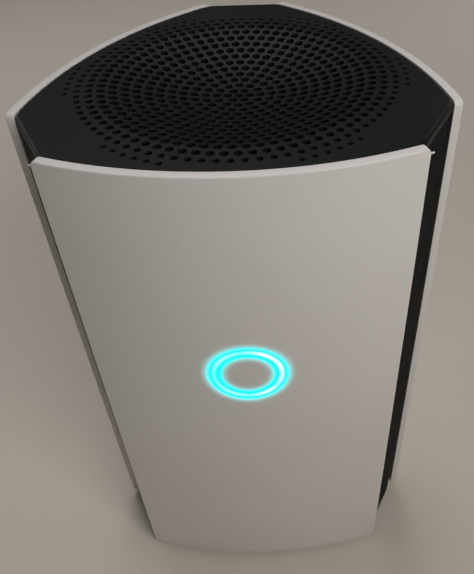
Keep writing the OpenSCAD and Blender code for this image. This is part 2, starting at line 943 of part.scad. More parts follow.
module button_switches() {
    stem_y = button_seat - button_flange_t - button_travel - 0.1;
    color("#3b3b3b") for (z = [power_z, pair_z, reset_z]) {
        translate([board_x, stem_y - stem_l - switch_l, z - switch_w / 2])
            cube([switch_w / 2 - board_x, switch_l, switch_w]);
        along_y(stem_r, stem_y - stem_l - eps, stem_y, z);
    }
}

placed() front_panel();
placed() rear_panel(side_angles[2]);  // left_rear_panel
placed() rear_panel(side_angles[1]);  // right_rear_panel
placed() ring_cap();
placed() light_guide();
placed() light_baffle();
placed() led_board();
placed() ring_leds();
placed() led_board_screws();
placed() led_ribbon();
placed() top_grille();
placed() grille_screws();
placed() inner_housing();
placed() panel_screws();
placed() port_panel();
placed() base_plate();
placed() base_screws();
placed() rubber_feet();
placed() board_carrier();
placed() carrier_screws();
placed() main_board();
placed() board_screws();
placed() board_chips();
placed() shield_cans();
placed() thermal_pads();
placed() left_heat_sink();
placed() right_heat_sink();
placed() sink_screws();
placed() ribbon_connectors();
placed() antenna_boards();
placed() antenna_clips();
placed() antenna_leads();
placed() jack(wan_z);  // wan_jack
placed() jack(wan_z + jack_step);  // lan_jack_1
placed() jack(wan_z + 2 * jack_step);  // lan_jack_2
placed() jack(wan_z + 3 * jack_step);  // lan_jack_3
placed() jack_contacts();
placed() dc_jack();
placed() dc_jack_pin();
placed() button_switches();
placed() power_button();
placed() pair_button();
placed() reset_button();
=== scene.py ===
import json
import math
from functools import lru_cache

import bmesh
import bpy
from mathutils import Matrix, Vector
from mathutils.geometry import delaunay_2d_cdt


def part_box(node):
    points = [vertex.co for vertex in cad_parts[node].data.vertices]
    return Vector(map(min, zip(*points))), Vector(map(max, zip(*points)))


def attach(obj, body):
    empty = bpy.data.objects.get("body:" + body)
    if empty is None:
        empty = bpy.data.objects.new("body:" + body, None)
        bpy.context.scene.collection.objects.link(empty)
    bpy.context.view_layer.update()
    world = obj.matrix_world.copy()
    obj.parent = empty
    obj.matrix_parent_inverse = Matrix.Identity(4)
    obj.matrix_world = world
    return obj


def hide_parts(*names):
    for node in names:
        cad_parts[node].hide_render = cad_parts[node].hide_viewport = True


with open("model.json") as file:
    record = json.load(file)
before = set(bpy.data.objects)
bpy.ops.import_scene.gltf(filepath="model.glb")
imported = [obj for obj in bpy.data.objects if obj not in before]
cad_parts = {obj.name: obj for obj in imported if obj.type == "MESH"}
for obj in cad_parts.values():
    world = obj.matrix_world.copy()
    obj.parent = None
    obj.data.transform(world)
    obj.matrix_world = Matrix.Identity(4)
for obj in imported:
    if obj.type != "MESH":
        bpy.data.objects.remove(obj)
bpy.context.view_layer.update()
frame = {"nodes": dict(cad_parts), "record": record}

MM = 0.001

# ---- The body's plan: three bowed panels and three cut-off corners ----

# Sizes that the frame's boxes don't give are the CAD model's own.
panel_low, panel_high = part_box("front_panel")
grille_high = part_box("top_grille")[1]

SIDES = 3
SIDE_ANGLE = 2 * math.pi / SIDES
PANEL_T = 2.7 * MM
CORNER_REACH = 62.8 * MM
CORNER_W = 24.2 * MM
CORNER_INSET = 0.4 * MM
TOP_BULGE = 9.75 * MM
BOTTOM_BULGE = 6.7 * MM
PANEL_GAP = 2.4 * MM

half_chord = CORNER_REACH * math.sin(SIDE_ANGLE / 2) - CORNER_W / 4
chord_reach = CORNER_REACH / 2 + CORNER_W * math.sin(SIDE_ANGLE / 2) / 2
axis_y = panel_low.y + chord_reach + TOP_BULGE + PANEL_T
rim_top = grille_high.z
CORNER_ANGLES = [math.radians(90) + i * SIDE_ANGLE for i in range(SIDES)]


def arc_radius(bulge):
    """The radius of an arc that bows out this far over a panel's chord."""
    return (half_chord ** 2 + bulge ** 2) / (2 * bulge)


arc_r = arc_radius(BOTTOM_BULGE)
top_arc_r = arc_radius(TOP_BULGE)
top_arc_cy = top_arc_r - chord_reach - TOP_BULGE

# Each panel's inner face is part of a leaning cone, and its ends lie on an upright wedge.
panel_h = panel_high.z - panel_low.z
apex_rise = top_arc_r * panel_h / (arc_r - top_arc_r)
cone_angle = math.atan(top_arc_r / apex_rise)
lean = math.atan((TOP_BULGE - BOTTOM_BULGE) / panel_h)
apex_y = -chord_reach - TOP_BULGE - apex_rise * math.tan(lean)
cone_tilt = lean + cone_angle
end_angle = math.asin(2 * half_chord / (arc_r + top_arc_r))
wedge_y = half_chord / math.tan(end_angle) - chord_reach


def cone_y(x, z, out):
    """Where the front panel's cone, moved out by a distance, meets a place x and z."""
    rise = out / math.sin(cone_angle)
    s, c, k = math.sin(cone_tilt), math.cos(cone_tilt), math.cos(cone_angle) ** 2
    dz = z - panel_high.z - apex_rise - rise * c
    a = s * s - k
    b = -2 * dz * s * c
    d = dz * dz * (c * c - k) - k * x * x
    return apex_y - rise * s + (-b + math.sqrt(b * b - 4 * a * d)) / (2 * a)


@lru_cache(maxsize=None)
def end_reach(z, out):
    """How far a panel's end face lies from its middle at a height."""
    x = half_chord
    for _ in range(12):
        x = (wedge_y - cone_y(x, z, out)) * math.tan(end_angle)
    return x


panel_half = end_reach(panel_low.z + panel_h / 2, PANEL_T)


# ---- Mesh helpers ----

def turned(point, angle):
    """A point given about the body's upright axis, turned by an angle and put in the frame."""
    spun = Matrix.Rotation(angle, 3, "Z") @ Vector(point)
    return Vector((spun.x, spun.y + axis_y, spun.z))


def circle_loop(cx, cy, r, count):
    """Points round a circle, anticlockwise."""
    step = 2 * math.pi / count
    return [(cx + r * math.cos(step * i), cy + r * math.sin(step * i)) for i in range(count)]


def rounded_rectangle(x0, y0, x1, y1, r, steps=6):
    """An anticlockwise rectangle with round corners."""
    points = []
    centres = [(x1 - r, y0 + r, -90), (x1 - r, y1 - r, 0), (x0 + r, y1 - r, 90), (x0 + r, y0 + r, 180)]
    for cx, cy, start in centres:
        for i in range(steps + 1):
            a = math.radians(start + 90 * i / steps)
            points.append((cx + r * math.cos(a), cy + r * math.sin(a)))
    return points


def divided(loop, step):
    """The loop with extra points along its long sides."""
    points = []
    for i, here in enumerate(loop):
        there = loop[(i + 1) % len(loop)]
        count = max(1, round(math.dist(here, there) / step))
        for k in range(count):
            t = k / count
            points.append((here[0] + (there[0] - here[0]) * t, here[1] + (there[1] - here[1]) * t))
    return points


def grid(x0, y0, x1, y1, step_x, step_y):
    """Evenly spaced points inside a rectangle."""
    nx, ny = int((x1 - x0) / step_x), int((y1 - y0) / step_y)
    return [
        (x0 + (x1 - x0) * (i + 0.5) / nx, y0 + (y1 - y0) * (j + 0.5) / ny)
        for i in range(nx) for j in range(ny)
    ]


def moved_out(loop, distances):
    """An anticlockwise loop with each point moved out along its corner's bisector."""
    points = []
    for i, here in enumerate(loop):
        before, after = loop[i - 1], loop[(i + 1) % len(loop)]
        a = Vector((here[1] - before[1], before[0] - here[0])).normalized()
        b = Vector((after[1] - here[1], here[0] - after[0])).normalized()
        mid = (a + b).normalized()
        reach = distances[i] / max(mid.dot(a), 0.5)
        points.append((here[0] + mid.x * reach, here[1] + mid.y * reach))
    return points


FLAT_RIM = 1.6  # how far in the flat faces' outermost ring lies, in edge radii


def edge_profile(thickness, front_r, back_r, steps=4):
    """How far in, and how deep, each ring of a rounded edge lies, from the front face to the back."""
    rings = [(front_r * FLAT_RIM, 0.0)]
    for i in range(steps + 1):
        a = math.pi / 2 * i / steps
        rings.append((front_r * (1 - math.sin(a)), front_r * (1 - math.cos(a))))
    for i in range(steps + 1):
        a = math.pi / 2 * i / steps
        rings.append((back_r * (1 - math.cos(a)), thickness - back_r * (1 - math.sin(a))))
    rings.append((front_r * FLAT_RIM, thickness))
    return rings


def bevel_profile(thickness, bevel, back_r, steps=4, soft=0.1 * MM):
    """As edge_profile, for a flat bevel of 45 degrees with softened edges."""
    rings = [(bevel + soft * 2, 0.0), (bevel + soft, 0.0)]
    for i in range(steps - 1):
        down = soft * 0.4 + (bevel - soft * 0.8) * i / (steps - 2)
        rings.append((bevel - down, down))
    rings.append((0.0, bevel + soft))
    rings += edge_profile(thickness, soft, back_r, steps)[steps + 2:-1]
    rings.append((bevel + soft * 2, thickness))
    return rings


HOLE_EDGE_STEPS = 2
INSIDE_ONLY = 1  # delaunay_2d_cdt leaves out the faces past the outline
MERGE_REACH = 1e-7


def face_triangles(plan, edges, owner):
    """Triangles between a plan's loops, apart from those that would fill a hole. owner gives the
    number of each point's loop: 0 for the outline, then the holes, and -1 for a point on its own."""
    result = delaunay_2d_cdt([Vector(p) for p in plan], edges, [], INSIDE_ONLY, MERGE_REACH)
    origin = [ids[0] if ids else None for ids in result[3]]
    triangles = []
    for face in result[2]:
        corners = [origin[v] for v in face]
        owners = {owner[c] for c in corners if c is not None}
        fills_hole = len(owners) == 1 and next(iter(owners)) > 0
        if None not in corners and not fills_hole:
            triangles.append(corners)
    return triangles


def plate_mesh(outline, holes, inner_points, place, thickness, edge_r, hole_edge_r,
               back_r=0.1 * MM, bevels=None):
    """A closed plate with rounded edges, from anticlockwise loops. bevels gives the points of the
    outline that have a flat bevel, and its size. place turns a plan point and a depth below the
    front face into a place in the frame."""
    verts, faces, plan, edges, owner = [], [], [], [], []
    front_ids, back_ids = [], []

    def add_ring(points, depths):
        start = len(verts)
        verts.extend(place(x, y, depth) for (x, y), depth in zip(points, depths))
        return list(range(start, start + len(points)))

    for number, loop in enumerate([outline] + holes):
        if number:
            rounded = edge_profile(thickness, hole_edge_r, back_r, HOLE_EDGE_STEPS)
        else:
            rounded = edge_profile(thickness, edge_r, back_r)
        profiles = [rounded] * len(loop)
        if bevels and not number:
            flat = bevel_profile(thickness, bevels[1], back_r)
            profiles = [flat if i in bevels[0] else rounded for i in range(len(loop))]
        outward = 1 if number else -1
        made = []
        for k in range(len(rounded)):
            points = moved_out(loop, [outward * profile[k][0] for profile in profiles])
            depths = [profile[k][1] for profile in profiles]
            if number:
                points.reverse()
                depths.reverse()
            if not made:
                base = len(plan)
                plan.extend(points)
                owner.extend([number] * len(points))
                edges.extend((base + i, base + (i + 1) % len(points)) for i in range(len(points)))
            made.append(add_ring(points, depths))
        for upper, lower in zip(made, made[1:]):
            n = len(upper)
            faces.extend((upper[i], lower[i], lower[(i + 1) % n], upper[(i + 1) % n]) for i in range(n))
        front_ids.extend(made[0])
        back_ids.extend(made[-1])
    for point in inner_points:
        plan.append(point)
        owner.append(-1)
        front_ids.extend(add_ring([point], [0.0]))
        back_ids.extend(add_ring([point], [thickness]))
    for corners in face_triangles(plan, edges, owner):
        faces.append(tuple(front_ids[c] for c in corners))
        faces.append(tuple(back_ids[c] for c in reversed(corners)))
    return verts, faces


def lathe_mesh(profile, count, place):
    """A solid of revolution from (radius, height) pairs that start and end at radius 0."""
    verts, faces = [], []
    rings = []
    for r, h in profile:
        start = len(verts)
        if r == 0:
            verts.append(place(0.0, 0.0, h))
            rings.append([start] * count)
        else:
            verts.extend(place(x, y, h) for x, y in circle_loop(0, 0, r, count))
            rings.append(list(range(start, start + count)))
    for low, high in zip(rings, rings[1:]):
        for i in range(count):
            j = (i + 1) % count
            corners = (low[i], low[j], high[j], high[i])
            faces.append(tuple(dict.fromkeys(corners)))
    return verts, faces


def add_piece(name, mesh, material, slot, nodes, body):
    """Puts a mesh in the scene as a piece that rides on a body and stands for its CAD nodes."""
    mesh.materials.clear()
    mesh.materials.append(material)
    piece = bpy.data.objects.new(name, mesh)
    bpy.context.scene.collection.objects.link(piece)
    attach(piece, body)
    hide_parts(*nodes)
    return piece


PIECE_SHARP_ANGLE = math.radians(50)


def make_piece(name, parts, material, slot, nodes, body="housing"):
    """One piece from several (verts, faces) parts, with its faces turned outward."""
    verts, faces = [], []
    for part_verts, part_faces in parts:
        base = len(verts)
        verts.extend(part_verts)
        faces.extend(tuple(base + v for v in face) for face in part_faces)
    mesh = bpy.data.meshes.new(name)
    mesh.from_pydata(verts, [], faces)
    mesh.validate()
    shape = bmesh.new()
    shape.from_mesh(mesh)
    bmesh.ops.recalc_face_normals(shape, faces=shape.faces)
    shape.to_mesh(mesh)
    shape.free()
    mesh.polygons.foreach_set("use_smooth", [True] * len(mesh.polygons))
    mesh.set_sharp_from_angle(angle=PIECE_SHARP_ANGLE)
    return add_piece(name, mesh, material, slot, nodes, body)


# ---- Material helpers ----

def new_material(name):
    """A material with a Principled shader."""
    material = bpy.data.materials.new(name)
    material.use_nodes = True
    return material, material.node_tree, material.node_tree.nodes["Principled BSDF"]


def node(tree, kind, inputs=None, **settings):
    """Adds a node, sets its properties and its inputs: a value, or a socket to link from."""
    made = tree.nodes.new(kind)
    for key, value in settings.items():
        setattr(made, key, value)
    for key, value in (inputs or {}).items():
        if isinstance(value, bpy.types.NodeSocket):
            tree.links.new(value, made.inputs[key])
        else:
            made.inputs[key].default_value = value
    return made


def object_place(tree, scale=(1, 1, 1)):
    """Object coordinates, stretched along the axes."""
    place = node(tree, "ShaderNodeTexCoord").outputs["Object"]
    if scale == (1, 1, 1):
        return place
    return node(tree, "ShaderNodeMapping", {"Vector": place, "Scale": scale}).outputs["Vector"]


def noise(tree, place, scale, detail=4.0, rough=0.55):
    """Smooth noise, from about 0.2 to 0.8."""
    inputs = {"Vector": place, "Scale": scale, "Detail": detail, "Roughness": rough}
    return node(tree, "ShaderNodeTexNoise", inputs).outputs["Fac"]


def spread(tree, value, low, high, to_low=0.0, to_high=1.0, kind="LINEAR"):
    """Maps a value from one range to another, clamped."""
    inputs = {"Value": value, "From Min": low, "From Max": high, "To Min": to_low, "To Max": to_high}
    return node(tree, "ShaderNodeMapRange", inputs, interpolation_type=kind).outputs["Result"]


def mixed(tree, factor, colour_a, colour_b):
    """One colour fading into another as the factor goes from 0 to 1."""
    made = node(tree, "ShaderNodeMix", {"Factor": factor}, data_type="RGBA")
    for key, colour in (("A", colour_a), ("B", colour_b)):
        socket = [s for s in made.inputs if s.name == key and s.type == "RGBA"][0]
        if isinstance(colour, bpy.types.NodeSocket):
            tree.links.new(colour, socket)
        else:
            socket.default_value = (*colour, 1.0)
    return [s for s in made.outputs if s.type == "RGBA"][0]


def maths(tree, operation, a, b=0.0):
    """One arithmetic step on one or two values."""
    made = node(tree, "ShaderNodeMath", operation=operation)
    for index, value in enumerate((a, b)):
        if isinstance(value, bpy.types.NodeSocket):
            tree.links.new(value, made.inputs[index])
        else:
            made.inputs[index].default_value = value
    return made.outputs[0]


def bump(tree, shader, height, strength, distance):
    """Fine relief on a shader, from a height between 0 and 1."""
    inputs = {"Height": height, "Strength": strength, "Distance": distance}
    made = node(tree, "ShaderNodeBump", inputs)
    tree.links.new(made.outputs["Normal"], shader.inputs["Normal"])


# ---- Materials ----

WORN_SHADE = 0.82


def moulded(name, colour, dark, rough_low, rough_high, grain=3200.0, depth=0.03 * MM, strength=0.25,
            specular=0.5, scuffs=0.0):
    """Moulded plastic or rubber: a fine spark grain, faint cloudiness, uneven gloss and scuffs."""
    material, tree, shader = new_material(name)
    place = object_place(tree)
    cloud = spread(tree, noise(tree, place, 18.0, 3.0), 0.3, 0.7)
    tint = mixed(tree, cloud, dark, colour)
    if scuffs:
        marks = noise(tree, object_place(tree, (1.0, 1.0, 0.25)), 140.0, 6.0, 0.75)
        worn = tuple(channel * WORN_SHADE for channel in colour)
        tint = mixed(tree, spread(tree, marks, 0.66, 0.78, 0.0, scuffs), tint, worn)
    tree.links.new(tint, shader.inputs["Base Color"])
    smear = noise(tree, place, 55.0, 5.0, 0.65)
    tree.links.new(spread(tree, smear, 0.3, 0.7, rough_low, rough_high), shader.inputs["Roughness"])
    shader.inputs["Specular IOR Level"].default_value = specular
    bump(tree, shader, noise(tree, place, grain, 2.0, 0.7), strength, depth)
    return material, tree, shader


def metal(name, colour, dark, rough_low, rough_high, stretch):
    """Plated or drawn metal with fine lines along one axis and a few dull patches."""
    material, tree, shader = new_material(name)
    lines = noise(tree, object_place(tree, stretch), 900.0, 3.0, 0.6)
    patch = noise(tree, object_place(tree), 60.0, 4.0)
    tint = mixed(tree, spread(tree, patch, 0.35, 0.7), colour, dark)
    tree.links.new(tint, shader.inputs["Base Color"])
    tree.links.new(spread(tree, lines, 0.3, 0.7, rough_low, rough_high), shader.inputs["Roughness"])
    shader.inputs["Metallic"].default_value = 1.0
    bump(tree, shader, lines, 0.3, 0.01 * MM)
    return material


def printed_board(name, mask, track):
    """A lacquered board, with faint tracks that show through the lacquer."""
    material, tree, shader = new_material(name)
    place = object_place(tree)
    inputs = {"Vector": object_place(tree, (1.0, 1.0, 0.6)), "Scale": 420.0, "Randomness": 0.35}
    cells = node(tree, "ShaderNodeTexVoronoi", inputs, feature="DISTANCE_TO_EDGE").outputs["Distance"]
    tracks = spread(tree, cells, 0.02, 0.07, 1.0, 0.0)
    spots = spread(tree, noise(tree, place, 40.0, 2.0), 0.45, 0.6)
    shown = maths(tree, "MULTIPLY", tracks, spots)
    tree.links.new(mixed(tree, shown, mask, track), shader.inputs["Base Color"])
    gloss = spread(tree, noise(tree, place, 200.0), 0.3, 0.7, 0.3, 0.45)
    tree.links.new(gloss, shader.inputs["Roughness"])
    bump(tree, shader, shown, 0.5, 0.03 * MM)
    return material


def ribbon_film(name, film, line):
    """Amber film with copper lines along it."""
    material, tree, shader = new_material(name)
    inputs = {"Vector": object_place(tree), "Scale": 320.0, "Distortion": 0.0}
    waves = node(tree, "ShaderNodeTexWave", inputs, bands_direction="X").outputs["Fac"]
    shown = spread(tree, waves, 0.45, 0.6)
    tree.links.new(mixed(tree, shown, film, line), shader.inputs["Base Color"])
    gloss = spread(tree, noise(tree, object_place(tree), 300.0), 0.3, 0.7, 0.25, 0.4)
    tree.links.new(gloss, shader.inputs["Roughness"])
    bump(tree, shader, shown, 0.3, 0.02 * MM)
    return material


ring_low, ring_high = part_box("light_guide")
cap_low, cap_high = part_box("ring_cap")
RING_Z = (ring_low.z + ring_high.z) / 2
RING_RI = (cap_high.x - cap_low.x) / 2
RING_RO = 12.9 * MM
RING_MID = (RING_RI + RING_RO) / 2
RING_HALF = (RING_RO - RING_RI) / 2
GLOW_REACH = 3.0 * MM
GLOW_POWER = 2.4
GLOW_COLOUR = (0.0, 0.52, 0.52)

# The lit ring's colour from its outer rim, at 0, to its inner rim, at 1.
RING_BANDS = (
    (0.0, (0.08, 1.0, 0.98)), (0.10, (0.13, 1.0, 1.0)), (0.23, (0.0, 0.86, 0.84)),
    (0.34, (0.03, 1.0, 1.0)), (0.47, (0.20, 1.0, 1.0)), (0.60, (0.03, 1.0, 1.0)),
    (0.75, (0.0, 0.87, 0.86)), (0.90, (0.05, 1.0, 1.0)), (1.0, (0.10, 1.0, 1.0)),
)
RING_CORE = 0.47
RING_WHITE = (0.95, 1.0, 1.0)
# Whiter stretches of the ring's core: the angle in degrees, how narrow it is, and its strength.
RING_LOBES = ((57, 9.0, 1.0), (22, 9.0, 0.95), (-10, 12.0, 0.6), (-57, 14.0, 0.85),
              (-118, 8.0, 0.3), (130, 6.0, 0.25))


def ring_place(tree):
    """Distance from the ring's axis, and the sideways and upward offsets from it."""
    parts = node(tree, "ShaderNodeSeparateXYZ", {"Vector": object_place(tree)})
    dx = parts.outputs["X"]
    dz = maths(tree, "SUBTRACT", parts.outputs["Z"], RING_Z)
    square = maths(tree, "ADD", maths(tree, "MULTIPLY", dx, dx), maths(tree, "MULTIPLY", dz, dz))
    return maths(tree, "SQRT", square), dx, dz


def glowing_panel(name, *settings, **options):
    """The white plastic, with the ring's light bleeding into it close to the ring."""
    material, tree, shader = moulded(name, *settings, **options)
    reach = ring_place(tree)[0]
    gap = maths(tree, "ABSOLUTE", maths(tree, "SUBTRACT", reach, RING_MID))
    glow = spread(tree, gap, RING_HALF, RING_HALF + GLOW_REACH, 1.0, 0.0)
    falloff = maths(tree, "POWER", glow, GLOW_POWER)
    lit = mixed(tree, falloff, (0.0, 0.0, 0.0), GLOW_COLOUR)
    tree.links.new(lit, shader.inputs["Emission Color"])
    shader.inputs["Emission Strength"].default_value = 1.0
    return material


def lit_ring_material():
    """The lit guide: pale rims and core with deeper cyan lines between, and brighter stretches."""
    material, tree, shader = new_material("lit_ring")
    reach, dx, dz = ring_place(tree)
    across = spread(tree, reach, RING_RO, RING_RI)
    ramp = node(tree, "ShaderNodeValToRGB", {"Fac": across})
    band = ramp.color_ramp
    band.interpolation = "EASE"
    while len(band.elements) < len(RING_BANDS):
        band.elements.new(0.5)
    for element, (position, colour) in zip(band.elements, RING_BANDS):
        element.position = position
        element.color = (*colour, 1.0)
    core = maths(tree, "ABSOLUTE", maths(tree, "SUBTRACT", across, RING_CORE))
    core = spread(tree, core, 0.06, 0.22, 1.0, 0.0, "SMOOTHSTEP")
    lobes = None
    for angle, power, gain in RING_LOBES:
        a = math.radians(angle)
        along = maths(tree, "ADD", maths(tree, "MULTIPLY", dx, math.cos(a)),
                      maths(tree, "MULTIPLY", dz, math.sin(a)))
        facing = maths(tree, "MAXIMUM", maths(tree, "DIVIDE", along, reach), 0.0)
        lobe = maths(tree, "MULTIPLY", maths(tree, "POWER", facing, power), gain)
        lobes = lobe if lobes is None else maths(tree, "MAXIMUM", lobes, lobe)
    flicker = spread(tree, noise(tree, object_place(tree), 160.0, 2.0), 0.3, 0.7, 0.85, 1.1)
    white = maths(tree, "MULTIPLY", maths(tree, "MULTIPLY", core, lobes), flicker)
    lit = mixed(tree, white, ramp.outputs["Color"], RING_WHITE)
    tree.links.new(lit, shader.inputs["Emission Color"])
    shader.inputs["Emission Strength"].default_value = 1.0
    shader.inputs["Base Color"].default_value = (0.01, 0.05, 0.05, 1.0)
    shader.inputs["Specular IOR Level"].default_value = 0.1
    tree.links.new(spread(tree, flicker, 0.85, 1.1, 0.35, 0.45), shader.inputs["Roughness"])
    bump(tree, shader, noise(tree, object_place(tree), 2400.0, 2.0), 0.1, 0.01 * MM)
    return material


# Base colour, its darker shade, and the lowest and highest roughness.
WHITE = ((0.80, 0.758, 0.735), (0.775, 0.728, 0.70), 0.42, 0.52)
GRILLE = ((0.0066, 0.0073, 0.0075), (0.0048, 0.0053, 0.0055), 0.42, 0.52)


def plastic(name, *settings, **options):
    """A moulded material alone."""
    return moulded(name, *settings, **options)[0]


panel_white = plastic("panel_white", *WHITE, scuffs=0.5)
panel_white_front = glowing_panel("panel_white_front", *WHITE, scuffs=0.5)
grille_black = plastic("grille_black", *GRILLE, strength=0.35, specular=0.16, scuffs=0.3)
SLOT_MATERIALS = {
    "white_shell": panel_white,
    "lit_ring": lit_ring_material(),
    "black_plastic": plastic(
        "black_plastic", (0.008, 0.0085, 0.009), (0.006, 0.0062, 0.0065), 0.7, 0.82,
        strength=0.5, specular=0.08, scuffs=0.3),
    "carrier_plastic": plastic(
        "carrier_plastic", (0.035, 0.036, 0.040), (0.028, 0.028, 0.031), 0.5, 0.65),
    "button_plastic": plastic(
        "button_plastic", (0.030, 0.031, 0.034), (0.024, 0.024, 0.026), 0.38, 0.48),
    "reset_plastic": plastic("reset_plastic", (0.28, 0.03, 0.03), (0.22, 0.02, 0.02), 0.4, 0.5),
    "connector_plastic": plastic(
        "connector_plastic", (0.76, 0.71, 0.60), (0.70, 0.64, 0.53), 0.45, 0.6),
    "chip_black": plastic(
        "chip_black", (0.018, 0.018, 0.019), (0.012, 0.012, 0.013), 0.5, 0.65,
        grain=1800.0, strength=0.5),
    "led_package": plastic("led_package", (0.85, 0.82, 0.55), (0.80, 0.74, 0.42), 0.3, 0.4),
    "foot_rubber": plastic(
        "foot_rubber", (0.030, 0.030, 0.031), (0.020, 0.020, 0.021), 0.7, 0.85,
        grain=1400.0, depth=0.06 * MM, strength=0.6, specular=0.3),
    "thermal_pad": plastic(
        "thermal_pad", (0.28, 0.38, 0.48), (0.23, 0.32, 0.42), 0.65, 0.8,
        grain=1500.0, depth=0.05 * MM, strength=0.5),
    "lead_jacket": plastic("lead_jacket", (0.045, 0.045, 0.05), (0.03, 0.03, 0.034), 0.45, 0.6),
    "circuit_board": printed_board("circuit_board", (0.012, 0.09, 0.045), (0.05, 0.20, 0.09)),
    "antenna_board": printed_board("antenna_board", (0.42, 0.33, 0.17), (0.60, 0.40, 0.18)),
    "ribbon_film": ribbon_film("ribbon_film", (0.50, 0.30, 0.08), (0.62, 0.32, 0.16)),
    "screw_steel": metal(
        "screw_steel", (0.56, 0.57, 0.59), (0.44, 0.45, 0.46), 0.28, 0.42, (1, 1, 4)),
    "can_steel": metal(
        "can_steel", (0.62, 0.62, 0.61), (0.52, 0.52, 0.51), 0.3, 0.45, (1, 6, 1)),
    "jack_shell": metal(
        "jack_shell", (0.60, 0.60, 0.59), (0.48, 0.48, 0.47), 0.26, 0.38, (6, 1, 1)),
    "sink_aluminium": metal(
        "sink_aluminium", (0.66, 0.67, 0.69), (0.56, 0.57, 0.58), 0.32, 0.5, (6, 6, 0.4)),
    "contact_brass": metal(
        "contact_brass", (0.85, 0.62, 0.26), (0.70, 0.48, 0.18), 0.2, 0.32, (1, 1, 5)),
}
slot_of = {part["node"]: part["material_slot"] for part in frame["record"]["subparts"]}

# ---- Side panels ----

PANEL_CORNER_R = 1.6 * MM
PANEL_EDGE_R = 0.4 * MM
RING_EDGE_R = 0.12 * MM
OUTLINE_STEP = 3 * MM
SURFACE_STEP = (3 * MM, 6 * MM)
SURFACE_MARGIN = 2 * MM
RING_SIDES = 96

RAIL_ANGLE = math.radians(10)
RAIL_X = arc_r * math.sin(RAIL_ANGLE)
RAIL_W = 3 * MM
RAIL_H = PANEL_GAP * 0.9
RAIL_END = 9 * MM
RAIL_CORNER_R = 0.3 * MM
RAIL_EDGE_R = 0.1 * MM
RAIL_STEP = 8 * MM

TAB_OUT = 1.2 * MM
TAB_T = 0.4 * MM
TAB_H = 0.4 * MM
TAB_DROP = 1.6 * MM
TAB_ROOT = 0.4 * MM
TAB_DEPTH = 0.5 * MM
TAB_ROUND = 0.14 * MM


def on_panel(side, start=0.0):
    """The place function of a panel: sideways, height, and depth under its outer face. start is
    the depth that the part's own front face lies at."""
    def place(x, z, depth):
        out = PANEL_T - start - depth
        sideways = x + (end_reach(z, out) - panel_half) * (x / panel_half) ** 3
        return turned((sideways, cone_y(sideways, z, out), z), side * SIDE_ANGLE)
    return place


def wall_part(side, has_ring_hole):
    """A panel's bowed wall, with the light ring's hole where it has one."""
    z0, z1 = panel_low.z, panel_high.z
    outline = rounded_rectangle(-panel_half, z0, panel_half, z1, PANEL_CORNER_R)
    m = SURFACE_MARGIN
    inner = grid(-panel_half + m, z0 + m, panel_half - m, z1 - m, *SURFACE_STEP)
    holes = []
    if has_ring_hole:
        holes.append(circle_loop(0, RING_Z, RING_RO, RING_SIDES))
        inner = [(x, z) for x, z in inner if math.hypot(x, z - RING_Z) > RING_RO + m]
    return plate_mesh(
        divided(outline, OUTLINE_STEP), holes, inner, on_panel(side), PANEL_T, PANEL_EDGE_R, RING_EDGE_R)


def rail_part(side, s):
    """The upright screw rail on one half of a panel's back, s being -1 or 1."""
    z0, z1 = panel_low.z + RAIL_END, panel_high.z - RAIL_END
    x0, x1 = s * RAIL_X - RAIL_W / 2, s * RAIL_X + RAIL_W / 2
    rail = rounded_rectangle(x0, z0, x1, z1, RAIL_CORNER_R, 2)

    def place(x, z, depth):
        return on_panel(side)(x, z, PANEL_T + RAIL_H - depth)
    return plate_mesh(divided(rail, RAIL_STEP), [], [], place, RAIL_H, RAIL_EDGE_R, RAIL_EDGE_R)


def tab_part(side, s):
    """The small tab at one end of a panel's top edge, s being -1 or 1."""
    x0, x1 = sorted((s * (panel_half - TAB_ROOT), s * (panel_half + TAB_OUT)))
    z1 = panel_high.z - TAB_DROP
    tab = rounded_rectangle(x0, z1 - TAB_H, x1, z1, TAB_ROUND, 3)
    edge = TAB_ROUND / 2
    return plate_mesh(tab, [], [], on_panel(side, TAB_DEPTH), TAB_T, edge, edge, back_r=edge)


def panel_parts(side, is_front=False):
    """A panel's wall and screw rails, and for the front panel also its ring hole and its tabs."""
    parts = [wall_part(side, is_front)]
    for s in (-1, 1):
        parts.append(rail_part(side, s))
        if is_front:
            parts.append(tab_part(side, s))
    return parts


make_piece("front_panel_shell", panel_parts(0, is_front=True), panel_white_front,
           "white_shell", ["front_panel"])
for side, panel in ((1, "right_rear_panel"), (2, "left_rear_panel")):
    make_piece(panel + "_shell", panel_parts(side), panel_white, "white_shell", [panel])

# ---- Light ring ----

RING_FIT = 0.02 * MM
GUIDE_EDGE_R = 0.1 * MM
CAP_SIDES = 64
CAP_INNER_SIDES = 16
GUIDE_INNER_SIDES = 72

cap = plate_mesh(
    circle_loop(0, RING_Z, RING_RI - RING_FIT, CAP_SIDES), [],
    circle_loop(0, RING_Z, RING_RI * 0.5, CAP_INNER_SIDES),
    on_panel(0), PANEL_T, RING_EDGE_R, RING_EDGE_R)
make_piece("ring_cap_disc", [cap], panel_white_front, "white_shell", ["ring_cap"])

guide = plate_mesh(
    circle_loop(0, RING_Z, RING_RO - RING_FIT, RING_SIDES),
    [circle_loop(0, RING_Z, RING_RI + RING_FIT, RING_SIDES)],
    circle_loop(0, RING_Z, RING_MID, GUIDE_INNER_SIDES),
    on_panel(0), PANEL_T, GUIDE_EDGE_R, GUIDE_EDGE_R)
make_piece("light_guide_ring", [guide], SLOT_MATERIALS["lit_ring"], "lit_ring", ["light_guide"])

# ---- Top grille ----

